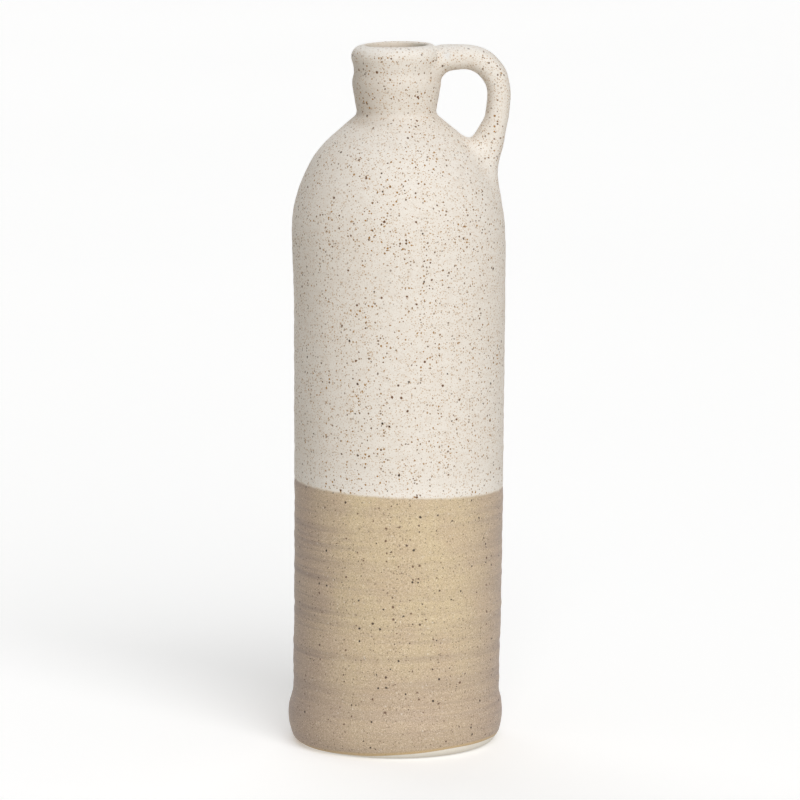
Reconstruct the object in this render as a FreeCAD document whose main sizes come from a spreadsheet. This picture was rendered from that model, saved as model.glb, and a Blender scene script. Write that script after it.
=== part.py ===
"""Tall stoneware bottle vase with one loop handle, in millimetres.

The clay is joined from a base slab, a thrown wall, a shoulder dome, a neck collar and a pulled
strap handle, whose ends are luted on with slip. Three glaze coats lie on it: a liner inside, a
sand coat on the lower half, and a white coat on the upper half, the rim and the handle.

Frame: +Z up the vase's axis, +X towards the handle, origin on the resting plane at the axis.
"""

import FreeCAD, Part
import math
import os
import Sketcher

# Driving dimensions. An outline's radii and heights are those of its corners before rounding.
DIMENSIONS = {
    # clay, outside, from the foot up
    "foot_radius": 50.05,
    "foot_rounding": 6.3,
    "swell_radius": 54.5,
    "swell_height": 14.5,
    "swell_rounding": 28,
    "crease_radius": 51.15,
    "crease_height": 25.5,
    "crease_rounding": 13,
    "body_radius": 52.2,
    "body_height": 271.9,
    "body_rounding": 69,
    "shoulder_radius": 41.7,
    "shoulder_height": 296.6,
    "shoulder_rounding": 49,
    "neck_radius": 18.95,
    "neck_height": 315.1,
    "neck_rounding": 4,
    "ridge_radius": 21.7,
    "ridge_height": 331,
    "ridge_rounding": 7.5,
    "waist_radius": 20.1,
    "waist_height": 336.6,
    "waist_rounding": 6,
    "lip_side_radius": 22.1,
    "lip_side_height": 344,
    "lip_side_rounding": 5,
    "rim_radius": 21.4,
    "rim_height": 349.5,
    "rim_rounding": 3.7,
    # clay, inside, from the mouth down
    "bore_radius": 15,
    "lip_rounding": 3,
    "throat_height": 310.6,
    "throat_rounding": 5,
    "dome_radius": 36.7,
    "dome_height": 292.9,
    "dome_rounding": 43,
    "cavity_radius": 46.2,
    "cavity_height": 270.7,
    "cavity_rounding": 63,
    "floor_radius": 45.2,
    "floor_rounding": 3,
    "floor_height": 8,
    "recess_radius": 40,
    "recess_depth": 1.5,
    # joints between the thrown sections
    "wall_joint": 252,
    "neck_joint": 316,
    # handle: centre line, section, and the fillets of slip at its two ends
    "strap_half_width": 8.5,
    "strap_half_depth": 5.4,
    "strap_start": 18,
    "strap_level": 343.9,
    "bend_start": 32.5,
    "bend_radius": 18,
    "sweep_radius": 61,
    "lean": 14,
    "tail_length": 34,
    "weld_growth": 3.2,
    "weld_tip_growth": 0.15,
    "upper_weld_start": 15.5,
    "upper_weld_end": 30,
    "upper_weld_shift": 4.6,
    "lower_weld_end": 4,
    "lower_weld_shift": 2.4,
    # glaze
    "glaze": 0.5,
    "bare_foot": 3.5,
    "dip_line": 131.5,
    "liner_top": 314,
    "liner_base": 5,
    # how far a band that splits the vase reaches beyond it
    "band_radius": 90,
    "band_margin": 1,
}

SHEET = "Dimensions"
ORIGIN = -1  # the sketcher's own number for the horizontal axis and the origin on it
VERTICAL_AXIS = -2
START, END, CENTRE = 1, 2, 3  # the sketcher's numbers for an edge's points

doc = FreeCAD.newDocument("StonewareVase")


def make_sheet():
    sheet = doc.addObject("Spreadsheet::Sheet", SHEET)
    for row, (name, value) in enumerate(DIMENSIONS.items(), 1):
        sheet.set(f"A{row}", name)
        sheet.set(f"B{row}", str(value))
        sheet.setAlias(f"B{row}", name)
    doc.recompute()


def cell(name):
    return f"{SHEET}.{name}"


def mean(first, second):
    return f"({cell(first)} + {cell(second)}) / 2"


# Sketches


def new_sketch(body, name, plane):
    sketch = body.newObject("Sketcher::SketchObject", name)
    origin_plane = next(f for f in body.Origin.OriginFeatures if f.Role == plane)
    sketch.AttachmentSupport = [(origin_plane, "")]
    sketch.MapMode = "FlatFace"
    return sketch


def bind(sketch, expression, kind, *points):
    """Adds a constraint whose value is the expression's, now and after any change."""
    value = sketch.evalExpression(expression)
    index = sketch.addConstraint(Sketcher.Constraint(kind, *points, value))
    sketch.setExpression(f"Constraints[{index}]", expression)


def place_point(sketch, edge, point, across, up):
    """Holds a point at a distance across and up from the origin. None puts it on that axis."""
    if across is None:
        sketch.addConstraint(Sketcher.Constraint("PointOnObject", edge, point, VERTICAL_AXIS))
    else:
        bind(sketch, across, "DistanceX", ORIGIN, START, edge, point)
    if up is None:
        sketch.addConstraint(Sketcher.Constraint("PointOnObject", edge, point, ORIGIN))
    else:
        bind(sketch, up, "DistanceY", ORIGIN, START, edge, point)


def add_outline(sketch, corners):
    """A closed outline through (across, up, rounding), an arc in each corner with a rounding."""
    count = len(corners)
    turn = 2 * math.pi / count
    ring = [FreeCAD.Vector(math.cos(i * turn), math.sin(i * turn)) for i in range(count)]
    for i in range(count):
        sketch.addGeometry(Part.LineSegment(ring[i], ring[(i + 1) % count]))
    for i in range(count):
        sketch.addConstraint(Sketcher.Constraint("Coincident", i, END, (i + 1) % count, START))
    for i, (across, up, _) in enumerate(corners):
        place_point(sketch, i, START, across, up)
    doc.recompute()
    for i, (_, _, rounding) in enumerate(corners):
        if rounding:
            arc = len(sketch.Geometry)
            sketch.fillet(i, START, float(DIMENSIONS[rounding]), True, True)
            bind(sketch, cell(rounding), "Radius", arc)


def revolved(name, corners):
    body = doc.addObject("PartDesign::Body", name)
    sketch = new_sketch(body, name + "_outline", "XZ_Plane")
    add_outline(sketch, corners)
    turn = body.newObject("PartDesign::Revolution", name + "_turn")
    turn.Profile = (sketch, [""])
    turn.ReferenceAxis = (sketch, ["V_Axis"])
    turn.Angle = 360
    return body


def ellipse_sketch(body, name, plane, placement, growth):
    """The strap's section, grown on every side, its width along the sketch's first axis."""
    sketch = new_sketch(body, name, plane)
    sketch.setExpression("AttachmentOffset", placement)
    wide, deep = DIMENSIONS["strap_half_width"], DIMENSIONS["strap_half_depth"]
    middle = FreeCAD.Vector()
    sketch.addGeometry(Part.Ellipse(FreeCAD.Vector(wide, 0), FreeCAD.Vector(0, deep), middle))
    sketch.exposeInternalGeometry(0)
    sketch.addConstraint(Sketcher.Constraint("Coincident", 0, CENTRE, ORIGIN, START))
    sketch.addConstraint(Sketcher.Constraint("Horizontal", 1))
    bind(sketch, f"2 * ({cell('strap_half_width')} + {growth})", "Distance", 1)
    bind(sketch, f"2 * ({cell('strap_half_depth')} + {growth})", "Distance", 2)
    return sketch


# Handle


def handle_path(body, name):
    """Level out of the rim, a tight bend, a slower sweep, then straight into the shoulder."""
    size = DIMENSIONS
    sketch = new_sketch(body, name, "XZ_Plane")
    level, bend, sweep = size["strap_level"], size["bend_radius"], size["sweep_radius"]
    lean = math.radians(size["lean"])
    bend_centre = FreeCAD.Vector(size["bend_start"], level - bend)
    sweep_centre = bend_centre + FreeCAD.Vector(bend - sweep, 0)
    out_of_rim = FreeCAD.Vector(size["strap_start"], level)
    tail_start = sweep_centre + FreeCAD.Vector(math.cos(lean), -math.sin(lean)) * sweep
    tail = FreeCAD.Vector(-math.sin(lean), -math.cos(lean)) * size["tail_length"]
    up = FreeCAD.Vector(0, 0, 1)
    sketch.addGeometry(Part.LineSegment(out_of_rim, bend_centre + FreeCAD.Vector(0, bend)))
    sketch.addGeometry(Part.ArcOfCircle(Part.Circle(bend_centre, up, bend), 0, math.pi / 2))
    sketch.addGeometry(Part.ArcOfCircle(Part.Circle(sweep_centre, up, sweep), -lean, 0))
    sketch.addGeometry(Part.LineSegment(tail_start, tail_start + tail))
    sketch.addConstraint(Sketcher.Constraint("Tangent", 0, END, 1, END))
    sketch.addConstraint(Sketcher.Constraint("Tangent", 1, START, 2, END))
    sketch.addConstraint(Sketcher.Constraint("Tangent", 2, START, 3, START))
    sketch.addConstraint(Sketcher.Constraint("Horizontal", 0))
    sketch.addConstraint(Sketcher.Constraint("Horizontal", 1, CENTRE, 1, START))
    place_point(sketch, 0, START, cell("strap_start"), cell("strap_level"))
    bind(sketch, cell("bend_start"), "DistanceX", ORIGIN, START, 1, CENTRE)
    bind(sketch, cell("bend_radius"), "Radius", 1)
    bind(sketch, cell("sweep_radius"), "Radius", 2)
    bind(sketch, f"-(90 + {cell('lean')}) * 1 deg", "Angle", 3)
    bind(sketch, cell("tail_length"), "Distance", 3)
    return sketch


def rim_section(along, drop):
    """A plane across the level part of the handle, as the offset of the YZ plane."""
    return f"placement(vector(0; {cell('strap_level')} - {drop}; {along}); rotation(0; 0; 0))"


def tail_section(along, shift):
    """A plane across the handle's tail, moved towards the neck, as the offset of the XY plane."""
    lean = f"({cell('lean')} * 1 deg)"
    tail_x = f"{cell('bend_start')} + {cell('bend_radius')} - {cell('sweep_radius')} * (1 - cos({lean}))"
    tail_z = f"{cell('strap_level')} - {cell('bend_radius')} - {cell('sweep_radius')} * sin({lean})"
    x = f"{tail_x} - {along} * sin({lean}) - {shift} * cos({lean})"
    z = f"{tail_z} - {along} * cos({lean}) + {shift} * sin({lean})"
    return f"placement(vector({x}; 0; {z}); rotation(90; 0; {cell('lean')}))"


def strap(name, growth):
    body = doc.addObject("PartDesign::Body", name)
    section = rim_section(cell("strap_start"), "0")
    profile = ellipse_sketch(body, name + "_section", "YZ_Plane", section, growth)
    path = handle_path(body, name + "_path")
    doc.recompute()
    pipe = body.newObject("PartDesign::AdditivePipe", name + "_pull")
    pipe.Profile = profile
    pipe.Spine = (path, ["Edge1", "Edge2", "Edge3", "Edge4"])
    return body


def weld(name, plane, root_section, tip_section, growth):
    """Slip worked up the strap's end: wide at its root in the wall, thin at its tip."""
    body = doc.addObject("PartDesign::Body", name)
    root_growth = f"{cell('weld_growth')} + {growth}"
    tip_growth = f"{cell('weld_tip_growth')} + {growth}"
    root = ellipse_sketch(body, name + "_root", plane, root_section, root_growth)
    tip = ellipse_sketch(body, name + "_tip", plane, tip_section, tip_growth)
    doc.recompute()
    loft = body.newObject("PartDesign::AdditiveLoft", name + "_loft")
    loft.Profile = root
    loft.Sections = [tip]
    return body


def upper_weld(name, growth):
    root = rim_section(cell("upper_weld_start"), cell("upper_weld_shift"))
    tip = rim_section(cell("upper_weld_end"), "0")
    return weld(name, "YZ_Plane", root, tip, growth)


def lower_weld(name, growth):
    root = tail_section(cell("tail_length"), cell("lower_weld_shift"))
    tip = tail_section(cell("lower_weld_end"), "0")
    return weld(name, "XY_Plane", root, tip, growth)


# Booleans


def band(name, low, high):
    """A disc between two heights, wider than the vase and its handle."""
    disc = doc.addObject("Part::Cylinder", name)
    disc.setExpression("Radius", cell("band_radius"))
    disc.setExpression("Height", f"{high} - ({low})")
    disc.setExpression("Placement.Base.z", low)
    return disc


def common(name, base, tool):
    result = doc.addObject("Part::Common", name)
    result.Base, result.Tool = base, tool
    return result


def cut(name, base, tool):
    result = doc.addObject("Part::Cut", name)
    result.Base, result.Tool = base, tool
    return result


def fuse(name, shapes):
    result = doc.addObject("Part::MultiFuse", name)
    result.Shapes = shapes
    return result


# Outlines


def outside():
    return [
        (cell("foot_radius"), None, "foot_rounding"),
        (cell("swell_radius"), cell("swell_height"), "swell_rounding"),
        (cell("crease_radius"), cell("crease_height"), "crease_rounding"),
        (cell("body_radius"), cell("body_height"), "body_rounding"),
        (cell("shoulder_radius"), cell("shoulder_height"), "shoulder_rounding"),
        (cell("neck_radius"), cell("neck_height"), "neck_rounding"),
        (cell("ridge_radius"), cell("ridge_height"), "ridge_rounding"),
        (cell("waist_radius"), cell("waist_height"), "waist_rounding"),
        (cell("lip_side_radius"), cell("lip_side_height"), "lip_side_rounding"),
        (cell("rim_radius"), cell("rim_height"), "rim_rounding"),
    ]


def inside():
    return [
        (cell("bore_radius"), cell("rim_height"), "lip_rounding"),
        (cell("bore_radius"), cell("throat_height"), "throat_rounding"),
        (cell("dome_radius"), cell("dome_height"), "dome_rounding"),
        (cell("cavity_radius"), cell("cavity_height"), "cavity_rounding"),
        (cell("floor_radius"), cell("floor_height"), "floor_rounding"),
        (None, cell("floor_height"), None),
        (None, cell("recess_depth"), None),
        (cell("recess_radius"), cell("recess_depth"), None),
        (cell("recess_radius"), None, None),
    ]


def mid_wall():
    """The middle of the wall's thickness, closed to the axis, up to where the liner ends."""
    return [
        (None, cell("liner_base"), None),
        (mean("body_radius", "floor_radius"), cell("liner_base"), None),
        (mean("body_radius", "cavity_radius"), mean("body_height", "cavity_height"), None),
        (mean("shoulder_radius", "dome_radius"), mean("shoulder_height", "dome_height"), None),
        (mean("neck_radius", "bore_radius"), mean("neck_height", "throat_height"), None),
        (mean("neck_radius", "bore_radius"), cell("liner_top"), None),
        (None, cell("liner_top"), None),
    ]


def build():
    """Makes every object and returns the finished sub-parts."""
    make_sheet()
    below = f"-{cell('band_margin')}"
    above = f"{cell('rim_height')} + {cell('band_margin')}"
    floor, wall_joint, neck_joint = cell("floor_height"), cell("wall_joint"), cell("neck_joint")
    dip_line = cell("dip_line")

    clay = revolved("clay", outside() + inside())
    closed = [(None, cell("rim_height"), None), (None, None, None)]
    solid = revolved("clay_filled", outside() + closed)

    base_slab = common("base_slab", clay, band("base_band", below, floor))
    body_wall = common("body_wall", clay, band("wall_band", floor, wall_joint))
    shoulder = common("shoulder_dome", clay, band("shoulder_band", wall_joint, neck_joint))
    neck = common("neck_collar", clay, band("neck_band", neck_joint, above))

    pulled = strap("strap_pulled", "0")
    handle = cut("handle_strap", pulled, solid)
    fitted = fuse("clay_and_strap", [solid, pulled])
    upper = cut("handle_upper_weld", upper_weld("upper_slip", "0"), fitted)
    lower = cut("handle_lower_weld", lower_weld("lower_slip", "0"), fitted)

    glazed_clay = doc.addObject("Part::Offset", "glazed_clay")
    glazed_clay.Source = clay
    glazed_clay.Join = "Intersection"
    glazed_clay.setExpression("Value", cell("glaze"))
    glazed_strap = strap("glazed_strap", cell("glaze"))
    glazed_upper = upper_weld("glazed_upper", cell("glaze"))
    glazed_lower = lower_weld("glazed_lower", cell("glaze"))

    inner = revolved("liner_space", mid_wall())
    liner = cut("liner_glaze_coat", common("liner_blank", glazed_clay, inner), clay)
    tan_band = band("tan_band", cell("bare_foot"), dip_line)
    tan_blank = common("tan_blank", glazed_clay, tan_band)
    tan = cut("tan_glaze_coat", tan_blank, fuse("tan_core", [clay, inner]))
    white_all = fuse("white_all", [glazed_clay, glazed_strap, glazed_upper, glazed_lower])
    white_blank = common("white_blank", white_all, band("white_band", dip_line, above))
    white_core = fuse("white_core", [clay, inner, handle, upper, lower])
    white = cut("white_glaze_coat", white_blank, white_core)
    return [base_slab, body_wall, shoulder, neck, handle, upper, lower, liner, tan, white]


def check(parts):
    doc.recompute()
    for item in doc.Objects:
        if {"Invalid", "Error"} & set(item.State):
            raise RuntimeError(f"{item.Name} failed: {item.State}")
    for part in parts:
        shape = part.Shape
        if shape.isNull() or not shape.isValid() or not shape.Solids:
            raise RuntimeError(f"{part.Label} has no valid solid")
        box = shape.BoundBox
        low = f"({box.XMin:.2f}, {box.YMin:.2f}, {box.ZMin:.2f})"
        high = f"({box.XMax:.2f}, {box.YMax:.2f}, {box.ZMax:.2f})"
        print(f"{part.Label}: {len(shape.Solids)} solid, {shape.Volume:.0f} mm3, {low} to {high}")


parts = build()
check(parts)
os.makedirs("parts", exist_ok=True)
for part in parts:
    part.Label = part.Name
    part.Shape.exportStep(f"parts/{part.Label}.step")
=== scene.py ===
"""Looks of a thrown stoneware bottle vase: hand-made clay, a speckled white glaze over a sand one.

Every shape is first worked out as if the vase were perfectly round and upright, in millimetres, and
then warped by one function, so that clay and glaze keep their fit. Meshes are made in metres. The
handle points along +X, and the front is -Y.
"""

import math

import bmesh
import bpy
import numpy as np
from mathutils import Matrix, Vector


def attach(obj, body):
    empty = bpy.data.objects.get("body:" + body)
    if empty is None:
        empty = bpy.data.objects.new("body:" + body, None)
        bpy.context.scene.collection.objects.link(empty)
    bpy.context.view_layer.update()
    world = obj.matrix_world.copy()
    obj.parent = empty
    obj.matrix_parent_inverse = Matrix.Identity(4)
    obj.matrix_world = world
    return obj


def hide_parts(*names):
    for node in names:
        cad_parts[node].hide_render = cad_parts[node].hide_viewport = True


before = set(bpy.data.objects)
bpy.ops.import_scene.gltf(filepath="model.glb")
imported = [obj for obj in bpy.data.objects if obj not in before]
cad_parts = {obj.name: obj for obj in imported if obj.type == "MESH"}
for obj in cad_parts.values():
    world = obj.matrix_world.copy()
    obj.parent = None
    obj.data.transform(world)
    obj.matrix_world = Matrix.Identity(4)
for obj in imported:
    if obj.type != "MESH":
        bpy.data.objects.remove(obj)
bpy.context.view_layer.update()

MM = 0.001
TAU = 2 * math.pi

# Outlines of the clay: corners as (radius, height, rounding), before they are rounded.
FOOT_RADIUS = 50.05
RIM_HEIGHT = 349.5
FLOOR_HEIGHT = 8
OUTSIDE = [
    (FOOT_RADIUS, 0, 6.3),
    (54.5, 14.5, 28),
    (51.15, 25.5, 13),
    (52.2, 271.9, 69),
    (41.7, 296.6, 49),
    (18.95, 315.1, 4),
    (21.7, 331, 7.5),
    (20.1, 336.6, 6),
    (22.1, 344, 5),
    (21.4, RIM_HEIGHT, 5.2),
]
BORE_RADIUS = 15
LIP = [(BORE_RADIUS, RIM_HEIGHT, 1.3)]
CREST_START = 16
CREST_END = 19
INSIDE = [
    (BORE_RADIUS, 310.6, 5),
    (36.7, 292.9, 43),
    (46.2, 270.7, 63),
    (45.2, FLOOR_HEIGHT, 3),
    (0, FLOOR_HEIGHT, 0),
]
HALF_WALL = 3
RECESS_RADIUS = 41.2
RECESS_DEPTH = 1.5
RECESS = [(0, RECESS_DEPTH, 0), (40, RECESS_DEPTH, 1.2), (RECESS_RADIUS, 0, 0.9)]
WALL_JOINT = 252
NECK_JOINT = 316

# Glaze
GLAZE = 0.5
LINER_TOP = 314
DIP_LINE = 131.6
DIP_SLOPE = 0.04  # how much lower the dip line lies for each millimetre towards the handle
DIP_SOFTNESS = 0.9
FOOT_LINE = 0.8
FOOT_LINE_LIFT = 4.2  # held at a slant, so the sand glaze stops this much higher on one side
FOOT_LINE_TURN = math.radians(-35)
THIN_EDGE = [(0, 0.45), (1.6, 1)]  # share of the full thickness, by height above the foot line
COAT_SHARE = 0.9  # of the full thickness, so that the white coat stays clear of the clay

# Handle: its centre line lies in the XZ plane
HANDLE_START = 18.5
HANDLE_LEVEL = 343.5
HANDLE_DROP_AT_RIM = 0.3
BEND_START = 32.6
BEND_RADIUS = 18
SWEEP_RADIUS = 61
HANDLE_LEAN = math.radians(14)
TAIL = 31
KNUCKLE = 0.3  # how far the bend stands out
KNUCKLE_WAY = (0.6, 0.8)
KNUCKLE_PLACE = 24
KNUCKLE_REACH = 8
TUCK = [(54, 0), (68, 1.05)]  # how far the lower end is drawn in, by length along the handle
HANDLE_POWER = 2.3  # above 2 the section is flatter on its sides than an ellipse
PINHOLE = (24.6, -8.0, 344.6)  # a pit in the glaze where the strap meets the rim

# Hand-made irregularity
RINGS = [(5.3, 0.4, 0.050), (7.9, 2.1, 0.055), (12.7, 4.4, 0.050), (31, 1.3, 0.06)]  # pitch, phase, depth
RING_STRENGTH = [(12, 0.25), (34, 1.25), (120, 1.15), (150, 0.8), (250, 0.7), (290, 0.35)]
SWELLS = [(249, 13, 0.35), (289, 11, -0.8), (337, 2.6, 0.3), (303, 8, -0.4)]  # height, reach, amount
ROOM_FOR_RINGS = 0.12
OVALITY = 0.0022
OVAL_TURN = 0.7
DRIFT_X = [(8, 0), (34, 0.55), (76, 1.25), (125, 1.55), (222, 1.75), (271, 1.0), (300, 0.6), (318, 0)]
DRIFT_Y = [(40, 0), (180, 0.25), (330, -0.2)]
RIM_WAVE = 0.1
RIM_WAVE_TURN = 1.9
RIM_SLANT = 0.3
RIM_SLANT_TURN = 0.35

# Meshes
MERGE_DISTANCE = 0.01 * MM
CREASE = math.radians(40)
COAT_CREASE = math.radians(50)
VOXEL = 1.4
STRAP_COLUMNS = 48


# Curves and fields


def smooth_step(low, high, value):
    share = np.clip((value - low) / (high - low), 0, 1)
    return share * share * (3 - 2 * share)


def eased(value, knots):
    """A smooth function through (place, amount) knots, level beyond the ends."""
    result = np.full(np.shape(value), float(knots[0][1]))
    for (low, first), (high, second) in zip(knots, knots[1:]):
        result = result + (second - first) * smooth_step(low, high, value)
    return result


def hump(value, place, reach):
    """A bell curve, 1 at its place."""
    return np.exp(-(((value - place) / reach) ** 2))


def direction(turn):
    return np.array((math.cos(turn), math.sin(turn)))


def rounded(corners, step=1.0):
    """The points along an outline whose inner corners are replaced by tangent arcs."""
    points = [np.array(corners[0][:2], float)]
    for before, (x, y, rounding), after in zip(corners, corners[1:], corners[2:]):
        corner = np.array((x, y), float)
        back = np.array(before[:2], float) - corner
        on = np.array(after[:2], float) - corner
        back, on = back / np.linalg.norm(back), on / np.linalg.norm(on)
        turn = math.pi - math.acos(np.clip(back @ on, -1, 1))
        if not rounding:
            points.append(corner)
            continue
        reach = rounding * math.tan(turn / 2)
        middle = (back + on) / np.linalg.norm(back + on)
        centre = corner + middle * math.hypot(reach, rounding)
        start, end = corner + back * reach - centre, corner + on * reach - centre
        count = max(2, math.ceil(turn * rounding / step))
        for i in range(count + 1):
            share = i / count
            spot = start * math.sin((1 - share) * turn) + end * math.sin(share * turn)
            points.append(centre + spot / math.sin(turn))
    points.append(np.array(corners[-1][:2], float))
    return np.array(points)


def spaced(points, step):
    """The same line with its long straight stretches divided."""
    result = [points[0]]
    for start, end in zip(points, points[1:]):
        count = max(1, math.ceil(np.linalg.norm(end - start) / step))
        result += [start + (end - start) * i / count for i in range(1, count + 1)]
    return np.array(result)


def clay_outline():
    """From the foot's edge up the outside, over the rim and down the inside to the floor's middle."""
    return rounded([(RECESS_RADIUS, 0, 0)] + OUTSIDE + LIP + INSIDE)


def polygon_distance(points, outline):
    """Signed distance from each point to a closed outline, negative inside."""
    nearest = np.full(len(points), np.inf)
    inside = np.zeros(len(points), bool)
    for a, b in zip(outline, np.roll(outline, -1, axis=0)):
        edge, to_point = b - a, points - a
        length = edge @ edge
        if length == 0:
            continue
        along = np.clip(to_point @ edge / length, 0, 1)
        gap = to_point - along[:, None] * edge
        nearest = np.minimum(nearest, (gap * gap).sum(1))
        crosses = (a[1] > points[:, 1]) != (b[1] > points[:, 1])
        if a[1] != b[1]:
            level = a[0] + (points[:, 1] - a[1]) * edge[0] / edge[1]
            inside ^= crosses & (points[:, 0] < level)
    return np.sqrt(nearest) * np.where(inside, -1, 1)


class DistanceTable:
    """Signed distance to a turned solid, read from a fine grid over radius and height."""

    STEP = 0.25

    def __init__(self, outline, reach, low, high):
        self.low = low
        self.shape = (int(reach / self.STEP) + 1, int((high - low) / self.STEP) + 1)
        across, up = np.meshgrid(*(np.arange(n) * self.STEP for n in self.shape), indexing="ij")
        grid = np.stack([across.ravel(), up.ravel() + low], axis=1)
        self.values = polygon_distance(grid, outline).reshape(self.shape)

    def __call__(self, radius, height):
        place = np.stack([radius, height - self.low]) / self.STEP
        limit = np.array(self.shape)[:, None] - 1.001
        place = np.clip(place, 0, limit)
        cell = place.astype(int)
        u, v = place - cell
        i, j = cell
        table = self.values
        first = table[i, j] * (1 - u) + table[i + 1, j] * u
        second = table[i, j + 1] * (1 - u) + table[i + 1, j + 1] * u
        return first * (1 - v) + second * v


def smooth_union(first, second, reach):
    share = np.clip(0.5 + 0.5 * (second - first) / reach, 0, 1)
    return second * (1 - share) + first * share - reach * share * (1 - share)


# Hand-made irregularity, shared by every piece


OUTSIDE_LINE = rounded([(RECESS_RADIUS, 0, 0)] + OUTSIDE + [(CREST_START, RIM_HEIGHT, 0)])


def outer_radius(height):
    return np.interp(height, OUTSIDE_LINE[:, 1], OUTSIDE_LINE[:, 0])


def throwing_rings(height, angle):
    """Spiral marks of the fingers, in millimetres: each wave climbs by its pitch in one turn."""
    marks = 0
    for pitch, phase, depth in RINGS:
        wobble = 0.5 * np.sin(2 * angle + phase) + 0.4 * np.sin(height / 23 + phase)
        marks = marks + depth * np.sin(TAU * height / pitch - angle + phase + wobble)
    return marks * eased(height, RING_STRENGTH)


def rim_dip(radius, angle, height):
    """How far the rim lies under its ideal level: a wave, and a slant, lowest opposite the handle."""
    dip = RIM_WAVE * (1 + np.sin(2 * angle + RIM_WAVE_TURN))
    dip = dip + RIM_SLANT * (1 - np.cos(angle - RIM_SLANT_TURN))
    return dip * smooth_step(332, 349, height) * smooth_step(34, 24, radius)


def warp(points):
    """Bends the ideal vase into the hand-made one: rings, swells, ovality, a drift and a dipping rim."""
    x, y, z = points.T
    radius, angle = np.hypot(x, y), np.arctan2(y, x)
    middle_of_wall = outer_radius(z) - HALF_WALL
    outside = smooth_step(middle_of_wall - HALF_WALL / 2, middle_of_wall + HALF_WALL / 2, radius)
    swell = 0
    for height, reach, amount in SWELLS:
        swell = swell + amount * hump(z, height, reach)
    grown = radius + outside * (throwing_rings(z, angle) + swell - ROOM_FOR_RINGS)
    grown = grown * (1 + OVALITY * np.cos(2 * angle + OVAL_TURN) * smooth_step(20, 60, z))
    bent_x = grown * np.cos(angle) + eased(z, DRIFT_X)
    bent_y = grown * np.sin(angle) + eased(z, DRIFT_Y)
    return np.stack([bent_x, bent_y, z - rim_dip(radius, angle, z)], axis=1)


# Handle


def handle_line(count=110):
    """Points (x, z) down the middle of the handle, and how far along it each one is."""
    bend_centre = np.array((BEND_START, HANDLE_LEVEL - BEND_RADIUS))
    sweep_centre = bend_centre + (BEND_RADIUS - SWEEP_RADIUS, 0)
    tail_start = sweep_centre + SWEEP_RADIUS * direction(-HANDLE_LEAN)
    tail_way = -np.array((math.sin(HANDLE_LEAN), math.cos(HANDLE_LEAN)))
    bend_length = BEND_RADIUS * math.pi / 2
    sweep_length = SWEEP_RADIUS * HANDLE_LEAN
    bend, sweep, tail, end = np.cumsum([BEND_START - HANDLE_START, bend_length, sweep_length, TAIL])
    along = np.linspace(0, end, count)
    points = []
    for s in along:
        if s < bend:
            points.append((HANDLE_START + s, HANDLE_LEVEL))
        elif s < sweep:
            points.append(bend_centre + BEND_RADIUS * direction(math.pi / 2 - (s - bend) / BEND_RADIUS))
        elif s < tail:
            points.append(sweep_centre + SWEEP_RADIUS * direction(-(s - sweep) / SWEEP_RADIUS))
        else:
            points.append(tail_start + (s - tail) * tail_way)
    points = np.array(points)
    points[:, 1] -= HANDLE_DROP_AT_RIM * (1 - smooth_step(2, 13, along))
    knuckle = KNUCKLE * hump(along, KNUCKLE_PLACE, KNUCKLE_REACH)
    points += knuckle[:, None] * np.array(KNUCKLE_WAY)
    points[:, 0] -= eased(along, TUCK)
    return points, along


HANDLE_POINTS, HANDLE_ALONG = handle_line()
HANDLE_TANGENTS = np.gradient(HANDLE_POINTS, axis=0)
HANDLE_TANGENTS /= np.linalg.norm(HANDLE_TANGENTS, axis=1)[:, None]


def handle_half_depth(along):
    """Half the glazed strap's thickness: thick where it leaves the rim, thinnest down the side."""
    return eased(along, [(6, 6.5), (15, 6.05), (25, 6.3), (40, 5.75), (54, 5.8), (68, 7.7)])


def handle_half_width(along):
    return eased(along, [(4, 9.6), (22, 9.0), (50, 8.6), (66, 9.2), (84, 11)])


def handle_field(points):
    """Signed distance to the glazed strap, near enough for blending."""
    x, y, z = points.T
    offsets = np.stack([x, z], axis=1)[:, None, :] - HANDLE_POINTS[None, :, :]
    nearest = (offsets**2).sum(2).argmin(1)
    offset = offsets[np.arange(len(points)), nearest]
    tangent = HANDLE_TANGENTS[nearest]
    overshoot = (offset * tangent).sum(1)
    along = HANDLE_ALONG[nearest] + overshoot
    across = offset[:, 1] * tangent[:, 0] - offset[:, 0] * tangent[:, 1]
    deep, wide = handle_half_depth(along), handle_half_width(along)
    u, v = np.abs(across) + 1e-6, np.abs(y) + 1e-6
    power = HANDLE_POWER
    size = ((u / deep) ** power + (v / wide) ** power) ** (1 / power)
    steepness = np.hypot(u ** (power - 1) / deep**power, v ** (power - 1) / wide**power)
    section = (size - 1) / (size ** (1 - power) * steepness)
    past_end = along - HANDLE_ALONG[-1]
    return np.maximum(section, np.maximum(-along, past_end))


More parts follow.
